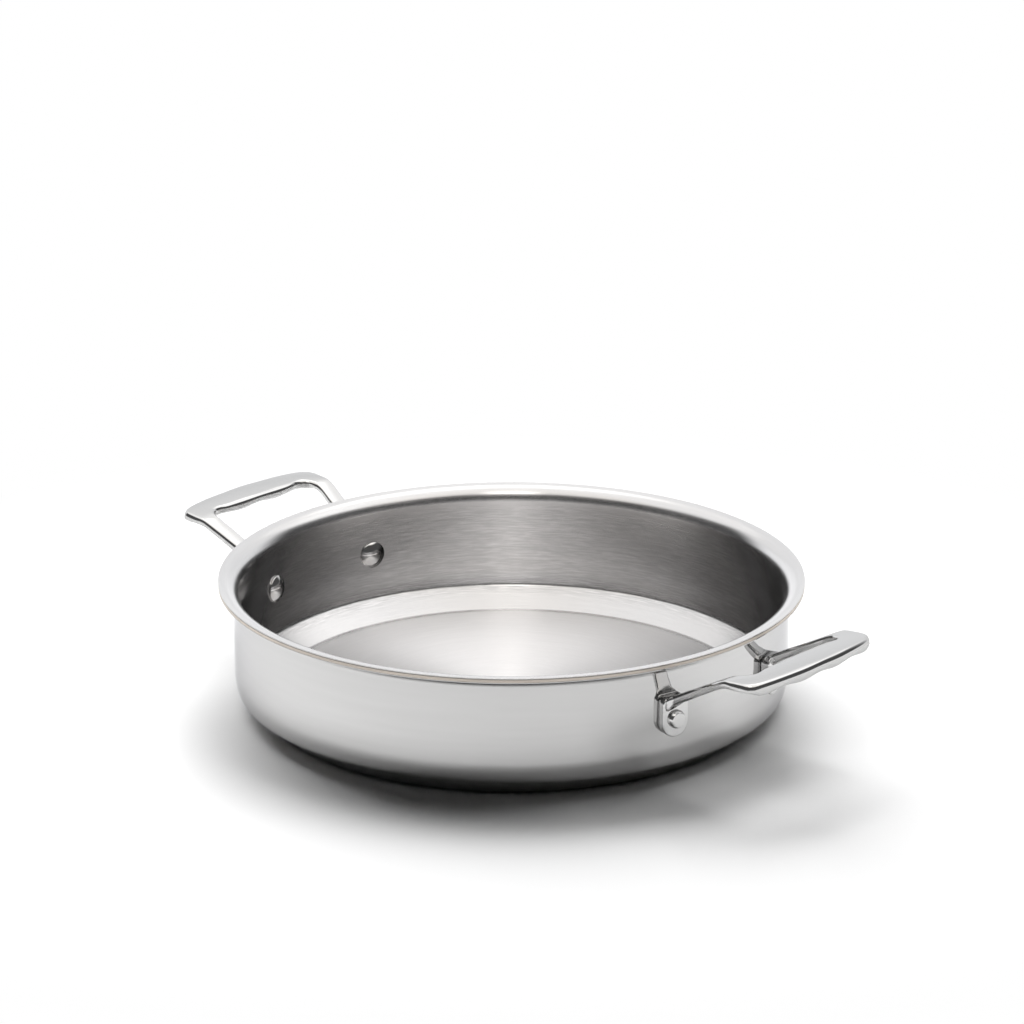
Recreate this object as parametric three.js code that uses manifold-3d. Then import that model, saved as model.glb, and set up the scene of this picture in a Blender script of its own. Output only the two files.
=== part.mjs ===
// Roasting pan: a round clad body of three plies, with two cast loop handles held by solid rivets.
// Millimetres, Z up. The base rests on z = 0 at the origin and the handles lie along X.
import * as THREE from "three";
import { mergeVertices } from "three/addons/utils/BufferGeometryUtils.js";
import Module from "manifold-3d";

const wasm = await Module();
wasm.setup();

// Body
const RIM_RADIUS = 150;
const WALL_RADIUS = 142.5; // outside of the straight wall
const PAN_HEIGHT = 68.5; // base to the top of the lip
const FOOT_HEIGHT = 21.5; // where the wall starts to curve in
const FOOT_CURVE = 40; // outside radius of the slow curve under the wall
const FOOT_LEAN = THREE.MathUtils.degToRad(12); // turn of that slow curve
const FOOT_SLOPE = THREE.MathUtils.degToRad(38); // the cone between base and wall
const FOOT_BEND = 5.8; // outside radius of the bends over and under the cone
const LIP_BEND_RADIUS = 5; // outside, between wall and lip
const LIP_RISE = THREE.MathUtils.degToRad(6); // the lip climbs outward
const TURN_STEPS = 60; // facets around the pan
const FOOT_BEND_STEPS = 3;
const FOOT_CURVE_STEPS = 2;
const LIP_STEPS = 4;

// Clad sheet, as depths from the outside face
const SHEET = 2.8;
const SKIN = 0.5; // each stainless ply
const BOND_GAP = 0.05;

// Handle mounts
const MOUNT_ANGLE = THREE.MathUtils.degToRad(15.2); // rivets either side of the handle axis
const RIVET_HEIGHT = 37.6;
const PAD_WIDTH = 15;
const PAD_TOP = 49;
const PAD_BOTTOM = 28.2;
const PAD_THICKNESS = 4.5;
const PAD_TOP_ROUND = 3.5;
const FIT_GAP = 0.3; // between pieces that touch

// Rivet
const SHANK_RADIUS = 3;
const HEAD_RADIUS = 7.2;
const HEAD_HEIGHT = 2.6;
const HEAD_BACK = 138.9; // distance of the head's flat back from the pan's axis
const TAIL_RADIUS = 4.6;
const TAIL_FACE_RADIUS = 3.7;
const TAIL_HEIGHT = 2.3;

// Handle loop: outer and inner edges in plan, half of each, from the grip's middle to the pad
const OUTER_EDGE = [
  [200.6, 0],
  [199.6, 23],
  [197.0, 40.2],
  [193.6, 46.6],
  [188.0, 48.2],
  [176.0, 47.6],
  [164.5, 45.4],
  [152.0, 43.2],
  [138.6, 43.0],
];
const INNER_EDGE = [
  [183.0, 0],
  [183.2, 21.5],
  [184.5, 29.0],
  [183.4, 33.2],
  [180.3, 36.0],
  [174.5, 37.0],
  [164.5, 35.2],
  [153.0, 34.4],
  [138.6, 34.2],
];
const ARM_SLOPE = 0.55;
const GRIP_SLOPE = 0.045;
const SHOULDER = 177; // distance from the pan's axis where arm turns into grip
const ARM_HEIGHT = 69; // height of the arm's slope there
const GRIP_HEIGHT = 69.4; // height of the grip's slope there
const SHOULDER_BLEND = 1.6;
const GRIP_CROWN = 1.0; // the grip's middle stands higher than its ends
const GRIP_HALF = 48;
const ARM_ROOT = 140;
const ARM_ROOT_DEPTH = 5.2;
const ARM_END_DEPTH = 3.8;
const GRIP_DEPTH = 5.3;
const GRIP_BELLY = 0.6; // the grip is deeper in its middle
const GRIP_TILT = 0.6; // deeper at the outer edge, shallower at the inner edge
const END_LIFT = 1.6; // the grip thins out towards its corners
const END_LIFT_FROM = 42;
const WAVE = 0.65; // finger waves under the grip
const WAVE_LENGTH = 26;
const TOP_CURVE = 0.2; // rise of the top face across its width
const TOP_BEVEL = 0.9;
const UNDER_BEVEL = 1.5;
const LOOP_STEPS = 52;

const steel = { metalness: 1, roughness: 0.3, color: 0xc9c8c6 };
const looks = {
  interior: new THREE.MeshStandardMaterial({ ...steel, roughness: 0.38, color: 0xb9b7b4 }),
  core: new THREE.MeshStandardMaterial({ ...steel, roughness: 0.45, color: 0xb2a9a0 }),
  exterior: new THREE.MeshStandardMaterial({ ...steel, roughness: 0.14 }),
  handle: new THREE.MeshStandardMaterial({ ...steel, roughness: 0.22 }),
  rivet: new THREE.MeshStandardMaterial({ ...steel, roughness: 0.08 }),
};

// A closed geometry as a solid, with its faces turned outward.
function toSolid(geometry) {
  const bare = new THREE.BufferGeometry();
  bare.setAttribute("position", geometry.getAttribute("position").clone());
  bare.setIndex(geometry.index);
  const merged = mergeVertices(bare, 1e-4);
  const corners = merged.index.array;
  const kept = [];
  for (let i = 0; i < corners.length; i += 3) {
    const [a, b, c] = [corners[i], corners[i + 1], corners[i + 2]];
    if (a !== b && b !== c && c !== a) kept.push(a, b, c);
  }
  const build = (triangles) =>
    new wasm.Manifold(
      new wasm.Mesh({
        numProp: 3,
        vertProperties: merged.getAttribute("position").array,
        triVerts: new Uint32Array(triangles),
      }),
    );
  const solid = build(kept);
  return solid.volume() > 0 ? solid : build(kept.reverse());
}

// A named mesh from a solid.
function toMesh(name, solid, material) {
  const { vertProperties, triVerts } = solid.getMesh();
  const geometry = new THREE.BufferGeometry();
  geometry.setAttribute("position", new THREE.BufferAttribute(vertProperties, 3));
  geometry.setIndex(new THREE.BufferAttribute(triVerts, 1));
  geometry.computeVertexNormals();
  const mesh = new THREE.Mesh(geometry, material);
  mesh.name = name;
  return mesh;
}

// A profile of [radius, height] points turned about the Z axis.
function turn(profile, steps) {
  const points = profile.map(([radius, height]) => new THREE.Vector2(radius, height));
  return toSolid(new THREE.LatheGeometry(points, steps).rotateX(Math.PI / 2));
}

// Points of a circle arc, from one angle to another.
function arcPoints(centre, radius, from, to, steps) {
  const points = [];
  for (let i = 0; i <= steps; i += 1) {
    const angle = from + (i / steps) * (to - from);
    points.push([centre[0] + radius * Math.cos(angle), centre[1] + radius * Math.sin(angle)]);
  }
  return points;
}

// Foot at one depth: a tight bend, a cone, a second tight bend and a slow curve up to the wall.
function footSection(depth) {
  const curveAt = [WALL_RADIUS - FOOT_CURVE, FOOT_HEIGHT];
  const reach = FOOT_CURVE - FOOT_BEND;
  const kneeAt = [curveAt[0] + reach * Math.cos(FOOT_LEAN), FOOT_HEIGHT - reach * Math.sin(FOOT_LEAN)];
  const drop = kneeAt[1] - FOOT_BEND;
  const baseAt = [kneeAt[0] - drop / Math.tan(FOOT_SLOPE), FOOT_BEND];
  const coneAngle = FOOT_SLOPE - Math.PI / 2;
  const bend = FOOT_BEND - depth;
  const low = arcPoints(baseAt, bend, -Math.PI / 2, coneAngle, FOOT_BEND_STEPS);
  const high = arcPoints(kneeAt, bend, coneAngle, -FOOT_LEAN, FOOT_BEND_STEPS);
  const curve = arcPoints(curveAt, FOOT_CURVE - depth, -FOOT_LEAN, 0, FOOT_CURVE_STEPS);
  return [...low, ...high, ...curve.slice(1)];
}

// Body section at one depth below the outside face, from the axis to the cut edge of the lip.
function bodySection(depth) {
  const section = [[0, depth], ...footSection(depth)];
  const bendAt = WALL_RADIUS + LIP_BEND_RADIUS;
  const topBend = LIP_BEND_RADIUS + SHEET;
  const run = RIM_RADIUS - bendAt + topBend * Math.sin(LIP_RISE);
  const bendHeight = PAN_HEIGHT - topBend * Math.cos(LIP_RISE) - run * Math.tan(LIP_RISE);
  const bendEnd = Math.PI / 2 + LIP_RISE;
  section.push(...arcPoints([bendAt, bendHeight], LIP_BEND_RADIUS + depth, Math.PI, bendEnd, LIP_STEPS));
  const [lastRadius, lastHeight] = section[section.length - 1];
  section.push([RIM_RADIUS, lastHeight + (RIM_RADIUS - lastRadius) * Math.tan(LIP_RISE)]);
  return section;
}

// A round bar lying along a direction in plan, at the rivets' height.
function radialBar(angle, radius, from, to) {
  const bar = new THREE.CylinderGeometry(radius, radius, to - from, 20);
  bar.rotateZ(-Math.PI / 2).translate((from + to) / 2, 0, 0);
  bar.rotateZ(angle).translate(0, 0, RIVET_HEIGHT);
  return toSolid(bar);
}

const rivetAngles = {
  rivet_right_front: -MOUNT_ANGLE,
  rivet_right_back: MOUNT_ANGLE,
  rivet_left_front: Math.PI + MOUNT_ANGLE,
  rivet_left_back: Math.PI - MOUNT_ANGLE,
};

// One ply of the clad sheet between two depths, with the four rivet holes through it.
function makePly(outerDepth, innerDepth) {
  const outside = bodySection(outerDepth);
  const inside = bodySection(innerDepth).reverse();
  let ply = turn([...outside, ...inside], TURN_STEPS);
  for (const angle of Object.values(rivetAngles)) {
    ply = ply.subtract(radialBar(angle, SHANK_RADIUS + FIT_GAP, WALL_RADIUS - 12, WALL_RADIUS + 12));
  }
  return ply;
}

// Height of the handle's top face: the arm's slope and the grip's slope, blended at the shoulder.
function handleTop(out, along) {
  const crown = GRIP_CROWN * (1 - (along / GRIP_HALF) ** 2);
  const arm = ARM_HEIGHT + ARM_SLOPE * (out - SHOULDER);
  const grip = GRIP_HEIGHT + GRIP_SLOPE * (out - SHOULDER) + crown;
  const gap = arm - grip;
  return (arm + grip - Math.hypot(gap, SHOULDER_BLEND)) / 2;
}

// Depth of the handle below its top face, with the finger waves under the grip.
function handleDepth(out, along, side) {
  const share = THREE.MathUtils.smoothstep(out, SHOULDER, SHOULDER + 8);
  const wave = WAVE * Math.cos((2 * Math.PI * along) / WAVE_LENGTH);
  const belly = GRIP_BELLY * (1 - (along / GRIP_HALF) ** 2);
  const lift = END_LIFT * THREE.MathUtils.smoothstep(Math.abs(along), END_LIFT_FROM, GRIP_HALF);
  const grip = GRIP_DEPTH + belly + GRIP_TILT * side - wave - lift;
  const reach = THREE.MathUtils.clamp((out - ARM_ROOT) / (SHOULDER - ARM_ROOT), 0, 1);
  const arm = THREE.MathUtils.lerp(ARM_ROOT_DEPTH, ARM_END_DEPTH, reach);
  return THREE.MathUtils.lerp(arm, grip, share);
}

// The whole edge of the loop from pad to pad, mirrored from its half.
function edgeCurve(half) {
  const mirrored = half.slice(1).reverse().map(([out, along]) => [out, -along]);
  return new THREE.SplineCurve([...mirrored, ...half].map(([out, along]) => new THREE.Vector2(out, along)));
}

// One closed section of the loop between its inner and outer edge points.
function loopSection(inner, outer) {
  const width = inner.distanceTo(outer);
  const at = (distance) => inner.clone().lerp(outer, distance / width);
  const topInner = handleTop(inner.x, inner.y);
  const topOuter = handleTop(outer.x, outer.y);
  const underInner = topInner - handleDepth(inner.x, inner.y, -1);
  const underOuter = topOuter - handleDepth(outer.x, outer.y, 1);
  const corners = [
    [0, topInner - TOP_BEVEL],
    [TOP_BEVEL, topInner],
    [width / 2, (topInner + topOuter) / 2 + TOP_CURVE],
    [width - TOP_BEVEL, topOuter],
    [width, topOuter - TOP_BEVEL],
    [width, underOuter + UNDER_BEVEL],
    [width - UNDER_BEVEL, underOuter],
    [UNDER_BEVEL, underInner],
    [0, underInner + UNDER_BEVEL],
  ];
  return corners.map(([distance, height]) => {
    const spot = at(distance);
    return [spot.x, spot.y, height];
  });
}

// The grip and its two arms as one lofted bar from pad to pad.
function makeLoop() {
  const outerCurve = edgeCurve(OUTER_EDGE);
  const innerCurve = edgeCurve(INNER_EDGE);
  const positions = [];
  let corners = 0;
  for (let i = 0; i <= LOOP_STEPS; i += 1) {
    const section = loopSection(innerCurve.getPoint(i / LOOP_STEPS), outerCurve.getPoint(i / LOOP_STEPS));
    corners = section.length;
    positions.push(...section.flat());
  }
  const triangles = [];
  for (let i = 0; i < LOOP_STEPS; i += 1) {
    for (let k = 0; k < corners; k += 1) {
      const next = (k + 1) % corners;
      const [a, b] = [i * corners + k, i * corners + next];
      const [c, d] = [a + corners, b + corners];
      triangles.push(a, b, d, a, d, c);
    }
  }
  const last = LOOP_STEPS * corners;
  for (let k = 1; k < corners - 1; k += 1) {
    triangles.push(0, k + 1, k, last, last + k, last + k + 1);
  }
  const geometry = new THREE.BufferGeometry();
  geometry.setAttribute("position", new THREE.Float32BufferAttribute(positions, 3));
  geometry.setIndex(triangles);
  return toSolid(geometry);
}

// The tongue-shaped outline of a mounting pad, across and up.
function padShape() {
  const half = PAD_WIDTH / 2;
  const shape = new THREE.Shape();
  shape.moveTo(-half, PAD_TOP - PAD_TOP_ROUND);
  shape.lineTo(-half, PAD_BOTTOM + half);
  shape.absarc(0, PAD_BOTTOM + half, half, Math.PI, 2 * Math.PI, false);
  shape.lineTo(half, PAD_TOP - PAD_TOP_ROUND);
  shape.absarc(half - PAD_TOP_ROUND, PAD_TOP - PAD_TOP_ROUND, PAD_TOP_ROUND, 0, Math.PI / 2, false);
  shape.absarc(PAD_TOP_ROUND - half, PAD_TOP - PAD_TOP_ROUND, PAD_TOP_ROUND, Math.PI / 2, Math.PI, false);
  return shape;
}

// One mounting pad before it is trimmed to the wall, standing at an angle in plan.
function makePad(angle) {
  const from = WALL_RADIUS - 4;
  const depth = PAD_THICKNESS + 6;
  const pad = new THREE.ExtrudeGeometry(padShape(), { depth, bevelEnabled: false, curveSegments: 8 });
  pad.rotateX(Math.PI / 2).rotateZ(Math.PI / 2).translate(from, 0, 0).rotateZ(angle);
  return toSolid(pad);
}

// A plain upright disc, used to trim the pads to the wall and to their thickness.
function makeDisc(radius) {
  return turn([[0, 0], [radius, 0], [radius, PAN_HEIGHT + 10], [0, PAN_HEIGHT + 10]], TURN_STEPS);
}

// A handle on the +X side: loop and pads in one casting, hollowed to the wall and bored for rivets.
function makeHandle() {
  const back = makeDisc(WALL_RADIUS + FIT_GAP);
  const front = makeDisc(WALL_RADIUS + FIT_GAP + PAD_THICKNESS);
  let handle = makeLoop();
  for (const angle of [-MOUNT_ANGLE, MOUNT_ANGLE]) {
    handle = handle.add(makePad(angle).intersect(front));
  }
  handle = handle.subtract(back);
  for (const angle of [-MOUNT_ANGLE, MOUNT_ANGLE]) {
    handle = handle.subtract(radialBar(angle, SHANK_RADIUS + FIT_GAP, WALL_RADIUS - 12, WALL_RADIUS + 12));
  }
  return handle;
}

// A rivet along its own axis: domed head inside the pan, shank, flat button tail on the pad.
function rivetSection() {
  const shankEnd = WALL_RADIUS + 2 * FIT_GAP + PAD_THICKNESS;
  const domeRadius = (HEAD_RADIUS ** 2 + HEAD_HEIGHT ** 2) / (2 * HEAD_HEIGHT);
  const reach = Math.asin(HEAD_RADIUS / domeRadius);
  const section = [];
  for (let i = 0; i <= 6; i += 1) {
    const angle = (i / 6) * reach;
    const rise = domeRadius * (1 - Math.cos(angle));
    section.push([domeRadius * Math.sin(angle), HEAD_BACK - HEAD_HEIGHT + rise]);
  }
  section.push([SHANK_RADIUS, HEAD_BACK]);
  section.push([SHANK_RADIUS, shankEnd]);
  section.push([TAIL_RADIUS, shankEnd]);
  section.push([TAIL_RADIUS, shankEnd + TAIL_HEIGHT * 0.45]);
  section.push([TAIL_FACE_RADIUS, shankEnd + TAIL_HEIGHT]);
  section.push([0, shankEnd + TAIL_HEIGHT]);
  return section;
}

const rivetSolid = turn(rivetSection(), 20);
const handleSolid = makeHandle();
const pan = new THREE.Group();

pan.add(toMesh("exterior_ply", makePly(0, SKIN), looks.exterior));
pan.add(toMesh("core_ply", makePly(SKIN + BOND_GAP, SHEET - SKIN - BOND_GAP), looks.core));
pan.add(toMesh("interior_ply", makePly(SHEET - SKIN, SHEET), looks.interior));

for (const [name, turned] of [["handle_right", 0], ["handle_left", Math.PI]]) {
  const handle = toMesh(name, handleSolid, looks.handle);
  handle.rotation.z = turned;
  pan.add(handle);
}

for (const [name, angle] of Object.entries(rivetAngles)) {
  const rivet = toMesh(name, rivetSolid, looks.rivet);
  const stand = new THREE.Group();
  rivet.rotation.y = Math.PI / 2;
  stand.rotation.z = angle;
  stand.position.z = RIVET_HEIGHT;
  stand.add(rivet);
  pan.add(stand);
}

export default pan;
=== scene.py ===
import math

import bpy
import numpy as np
from bpy.props import FloatProperty, FloatVectorProperty, PointerProperty
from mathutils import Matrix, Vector


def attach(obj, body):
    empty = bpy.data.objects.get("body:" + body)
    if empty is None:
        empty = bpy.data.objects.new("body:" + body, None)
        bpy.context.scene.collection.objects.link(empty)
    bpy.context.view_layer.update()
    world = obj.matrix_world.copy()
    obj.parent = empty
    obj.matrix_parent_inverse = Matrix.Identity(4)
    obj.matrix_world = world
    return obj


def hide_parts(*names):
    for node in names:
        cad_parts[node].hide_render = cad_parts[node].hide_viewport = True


bl_info = {
    "name": "Roasting Pan",
    "version": (1, 0, 0),
    "blender": (4, 5, 0),
    "location": "3D View > Sidebar > Pan",
    "description": "Dresses a clad roasting pan with riveted loop handles and sets it on a stage",
    "category": "Add Mesh",
}

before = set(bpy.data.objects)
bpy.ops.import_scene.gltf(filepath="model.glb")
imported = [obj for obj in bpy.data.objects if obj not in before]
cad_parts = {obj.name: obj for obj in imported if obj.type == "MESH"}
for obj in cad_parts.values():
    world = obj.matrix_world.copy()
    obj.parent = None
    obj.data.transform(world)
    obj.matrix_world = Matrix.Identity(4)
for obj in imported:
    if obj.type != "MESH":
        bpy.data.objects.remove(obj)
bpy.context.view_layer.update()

# Mesh steps
TURN_STEPS = 288
LOOP_STEPS = 320
RIVET_STEPS = 64

# Clad sheet
BOND_GAP = 0.00005  # the bonded plies stand this far apart
PLY_EDGE_ROUND = 0.00008  # edges between the plies
EXTERIOR_EDGE_ROUND = 0.00014  # lower edge of the cut
CORE_RECESS = 0.00004  # the softer core is worn back behind the skins

# Handle plan, half of each edge from the middle of the grip to the pad: distance out, distance along
OUTER_EDGE = np.array([
    (0.2006, 0.0), (0.1996, 0.0230), (0.1970, 0.0402), (0.1936, 0.0466), (0.1880, 0.0482),
    (0.1760, 0.0476), (0.1645, 0.0454), (0.1520, 0.0432), (0.1386, 0.0430),
])
INNER_EDGE = np.array([
    (0.1830, 0.0), (0.1832, 0.0215), (0.1845, 0.0290), (0.1834, 0.0332), (0.1803, 0.0360),
    (0.1745, 0.0370), (0.1645, 0.0352), (0.1530, 0.0344), (0.1386, 0.0342),
])
ARM_TRIM = 0.0085  # share of the loop's length left off at each end, inside the pad
ARM_SLOPE = 0.55
GRIP_SLOPE = 0.045
SHOULDER = 0.177  # distance out where the arm turns into the grip
SHOULDER_BLEND = 0.0016
SHOULDER_RUN = 0.008
GRIP_HALF = 0.048
ARM_ROOT = 0.140
END_LIFT = 0.0016
END_LIFT_FROM = 0.042
WAVE_LENGTH = 0.026
GRIP_TILT = 0.0006
TOP_CURVE = 0.0003
OUTER_SHARE = 0.64  # share of the bar's depth in the round of its upper outer edge
INNER_SHARE = 0.58  # the same for an arm's upper inner edge
ROUND_LIMIT = 0.46  # most of the bar's depth that one plain round may take
SIDE_LIMIT = 0.94  # most of the bar's depth that two rounds may take together
FLARE_SHARE = 0.8  # how much of the root fillet widens the bar

# Pads
PAD_TOP_ROUND = 0.0035
PAD_LEAST_ROUND = 0.0006
PAD_RINGS = np.array([0.97, 0.8, 0.55, 0.3, 0.1])  # shares of the outline that cover a face

# Rivets: rounding of the dome's rim, the seats, the tail's shoulder and its face
DOME_RIM_ROUND = 0.00015
SEAT_ROUND = 0.0001
SHOULDER_ROUND = 0.0006
TAIL_FACE_ROUND = 0.0003
TAIL_WAIST = 0.45  # share of the tail's height below its bevel

# Rivets: name and place in plan, as a side and an end of that side
RIVET_PLACES = {
    "right_front": (0.0, -1.0),
    "right_back": (0.0, 1.0),
    "left_front": (math.pi, 1.0),
    "left_back": (math.pi, -1.0),
}

# Camera: turn about Z, rise above the floor and distance, with lens and sensor in mm
CAMERA_TURN = math.radians(42.0)
CAMERA_RISE = math.radians(18.628)
CAMERA_DISTANCE = 2.0
CAMERA_AIM = (0.00028, 0.03137)  # right of and above the middle of the rim
CAMERA_LENS = 137.3
CAMERA_SENSOR = 36.0

# Finishes and zones of painted light and shade: where one runs into the next, by radius, height, distance
# out and slope
FLOOR_EDGE = (0.1215, 0.1265)
WALL_FOOT = (0.132, 0.138)
WALL_TOP = (0.056, 0.061)
# height of the dark band at the top of the core: a bond line with painted shade under the inner ply
CORE_SEAM_SHADE = (0.06752, 0.06772)
LOOP_ROOT = (0.150, 0.160)
SATIN_SLOPE = (-0.15, 0.25)

# Lamps and glow: place right of, away from and over the pan, then width, depth and watts
KEY_PLACE = (-0.33, 0.87, 1.18)
KEY_SIZE = (1.6, 1.5)
KEY_WATTS = 35.3
SIDE_PLACE = (0.50, 0.48, 1.683)
SIDE_SIZE = (1.7, 1.2)
SIDE_WATTS = 20.3
GLOW_PLACE = (0.06, 0.50, 0.86)

# Floor: half of its width, and the ring in which the paper turns to even white
FLOOR_REACH = 9.0
PAPER_EDGE = (0.25, 0.45)

# Room that the metal reflects: levels of light, and edges of its parts as sine or cosine of a direction
DIM_LEVEL = 0.10
CEILING_LEVEL = 1.4
CEILING_EDGE = (0.56, 0.68)
CEILING_LEAN = 0.12  # the ceiling reaches lower behind the pan than in front
RIGHT_EXTRA = 0.4
RIGHT_EDGE = (0.55, 0.90)
RIGHT_FADE = (0.70, 0.92)
FRONT_EXTRA = 2.4
FRONT_EDGE = (-0.998, -0.94)
FRONT_FADE = (0.80, 0.95)
BACK_LEVELS = (1.05, 1.2)
BACK_RISE = (0.24, 0.50)
BACK_EDGE = (0.35, 0.75)
LOW_BACK_EXTRA = 0.28
LOW_BACK_FADE = (0.22, 0.38)
LOW_BACK_EDGE = (0.05, 0.35)
GLOW_EDGE = (0.93, 0.985)
OFF_METAL = 0.05  # share of the room's light that the metal throws on to the floor
COOL_LIGHT = (0.824, 0.830, 0.841)
WARM_LIGHT = (0.846, 0.824, 0.796)
WARM_RISE = (0.25, 0.70)
WARM_EDGE = (-0.5, 0.1)


class PanBodySizes(bpy.types.PropertyGroup):
    """Sizes of the clad body."""

    rim_radius: FloatProperty(
        name="Rim radius", description="Axis to the cut edge of the lip", default=0.150, unit="LENGTH")
    wall_radius: FloatProperty(
        name="Wall radius", description="Axis to the outside of the wall", default=0.1425, unit="LENGTH")
    height: FloatProperty(
        name="Height", description="Base to the top of the lip", default=0.0685, unit="LENGTH")
    foot_height: FloatProperty(
        name="Foot height", description="Height where the wall starts to curve in", default=0.0215,
        unit="LENGTH")
    foot_curve: FloatProperty(
        name="Foot curve", description="Outside radius of the slow curve under the wall", default=0.040,
        unit="LENGTH")
    foot_lean: FloatProperty(
        name="Foot lean", description="Turn of that slow curve", default=math.radians(12.0), subtype="ANGLE")
    foot_slope: FloatProperty(
        name="Foot slope", description="Slope of the cone between base and wall", default=math.radians(38.0),
        subtype="ANGLE")
    foot_bend: FloatProperty(
        name="Foot bend", description="Outside radius of the bends over and under the cone", default=0.0058,
        unit="LENGTH")
    lip_bend: FloatProperty(
        name="Lip bend", description="Outside bend between wall and lip", default=0.0050, unit="LENGTH")
    lip_rise: FloatProperty(
        name="Lip rise", description="Slope of the lip", default=math.radians(6.0), subtype="ANGLE")
    sheet: FloatProperty(
        name="Sheet", description="Thickness of the clad sheet", default=0.0028, unit="LENGTH")
    skin: FloatProperty(
        name="Skin", description="Thickness of each steel ply", default=0.0005, unit="LENGTH")
    edge_round: FloatProperty(
        name="Edge round", description="Rounding of the polished lip edge", default=0.00022, unit="LENGTH")


class PanHandleSizes(bpy.types.PropertyGroup):
    """Sizes of the cast loop handles."""

    arm_height: FloatProperty(
        name="Arm height", description="Top of the arm's slope at the shoulder", default=0.0690,
        unit="LENGTH")
    grip_height: FloatProperty(
        name="Grip height", description="Top of the grip at the shoulder", default=0.0694, unit="LENGTH")
    grip_crown: FloatProperty(
        name="Grip crown", description="Rise of the grip's middle over its ends", default=0.001,
        unit="LENGTH")
    grip_depth: FloatProperty(
        name="Grip depth", description="Thickness of the grip", default=0.0053, unit="LENGTH")
    grip_belly: FloatProperty(
        name="Grip belly", description="Extra thickness in the grip's middle", default=0.0006, unit="LENGTH")
    wave: FloatProperty(
        name="Finger wave", description="Height of the waves under the grip", default=0.00065, unit="LENGTH")
    arm_root_depth: FloatProperty(
        name="Arm root depth", description="Thickness of the arm at the pad", default=0.0052, unit="LENGTH")
    arm_end_depth: FloatProperty(
        name="Arm end depth", description="Thickness of the arm at the shoulder", default=0.0038,
        unit="LENGTH")
    arm_round: FloatProperty(
        name="Arm rounding", description="Rounding of the arm's edges", default=0.0012, unit="LENGTH")
    grip_round: FloatProperty(
        name="Grip rounding", description="Rounding of the grip's edges", default=0.0026, unit="LENGTH")
    root_fillet: FloatProperty(
        name="Root fillet", description="Fillet where an arm runs into its pad", default=0.0018,
        unit="LENGTH")
    mount_angle: FloatProperty(
        name="Mount angle", description="Rivet to the handle's middle, about the pan's axis",
        default=math.radians(15.2), subtype="ANGLE")
    pad_width: FloatProperty(
        name="Pad width", description="Width of a mounting pad", default=0.015, unit="LENGTH")
    pad_top: FloatProperty(
        name="Pad top", description="Height of a pad's top edge", default=0.049, unit="LENGTH")
    pad_bottom: FloatProperty(
        name="Pad bottom", description="Height of a pad's lowest point", default=0.0282, unit="LENGTH")
    pad_thickness: FloatProperty(
        name="Pad thickness", description="Thickness of a mounting pad", default=0.0045, unit="LENGTH")
    pad_round: FloatProperty(
        name="Pad rounding", description="Rounding of the pad's front edge", default=0.0007, unit="LENGTH")
    fit_gap: FloatProperty(
        name="Fit gap", description="Gap between pad and wall", default=0.0003, unit="LENGTH")


class PanRivetSizes(bpy.types.PropertyGroup):
    """Sizes of the rivets."""

    height: FloatProperty(
        name="Height", description="Height of the rivets over the base", default=0.0376, unit="LENGTH")
    head_radius: FloatProperty(
        name="Head radius", description="Radius of the domed head", default=0.0072, unit="LENGTH")
    head_height: FloatProperty(
        name="Head height", description="Height of the dome", default=0.0026, unit="LENGTH")
    head_back: FloatProperty(
        name="Head back", description="Pan's axis to the dome's rim", default=0.1389, unit="LENGTH")
    head_seat: FloatProperty(
        name="Head seat", description="Pan's axis to where the head meets the wall", default=0.13945,
        unit="LENGTH")
    shank_radius: FloatProperty(
        name="Shank radius", description="Radius of the shank", default=0.003, unit="LENGTH")
    tail_seat: FloatProperty(
        name="Tail seat", description="Pan's axis to where the tail meets the pad", default=0.14726,
        unit="LENGTH")
    tail_end: FloatProperty(
        name="Tail end", description="Pan's axis to the tail's flat face", default=0.1499, unit="LENGTH")
    tail_radius: FloatProperty(
        name="Tail radius", description="Radius of the tail at the pad", default=0.0046, unit="LENGTH")
    tail_face: FloatProperty(
        name="Tail face", description="Radius of the tail's flat face", default=0.0037, unit="LENGTH")


class PanFinishes(bpy.types.PropertyGroup):
    """Colours of the metals and of the stage."""

    interior: FloatVectorProperty(
        name="Interior steel", description="Brushed cooking surface", default=(0.70, 0.692, 0.692),
        subtype="COLOR", min=0.0, max=1.0)
    exterior: FloatVectorProperty(
        name="Exterior steel", description="Polished outside", default=(0.56, 0.557, 0.554),
        subtype="COLOR", min=0.0, max=1.0)
    core: FloatVectorProperty(
        name="Core", description="Raw aluminium in the cut edge", default=(0.62, 0.56, 0.50),
        subtype="COLOR", min=0.0, max=1.0)
    handle: FloatVectorProperty(
        name="Handle steel", description="Polished castings", default=(0.68, 0.677, 0.674),
        subtype="COLOR", min=0.0, max=1.0)
    rivet: FloatVectorProperty(
        name="Rivet steel", description="Mirror polished rivets", default=(0.70, 0.696, 0.69),
        subtype="COLOR", min=0.0, max=1.0)
    floor: FloatVectorProperty(
        name="Floor", description="Plain white studio floor", default=(0.95, 0.95, 0.95),
        subtype="COLOR", min=0.0, max=1.0)


def skin_rings(rings, start, end):
    """Vertices and faces of a closed skin over a stack of rings.

    Point (i, j) of the grid is point j of ring i. Neighbouring rings are joined by quads, and the first and
    last ring are closed by fans to the start and end points. Seen from outside, a ring's points run to the
    right where the rings follow each other upward.
    """
    rows, columns = rings.shape[:2]
    vertices = np.concatenate([[start], rings.reshape(-1, 3), [end]])
    index = 1 + np.arange(rows * columns).reshape(rows, columns)
    beside = np.roll(index, -1, axis=1)
    quads = np.stack([index[:-1], beside[:-1], beside[1:], index[1:]], axis=-1).reshape(-1, 4)
    first = np.stack([np.zeros(columns, int), beside[0], index[0]], axis=-1)
    last = np.stack([np.full(columns, rows * columns + 1), index[-1], beside[-1]], axis=-1)
    return vertices, [quads, first, last]


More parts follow.
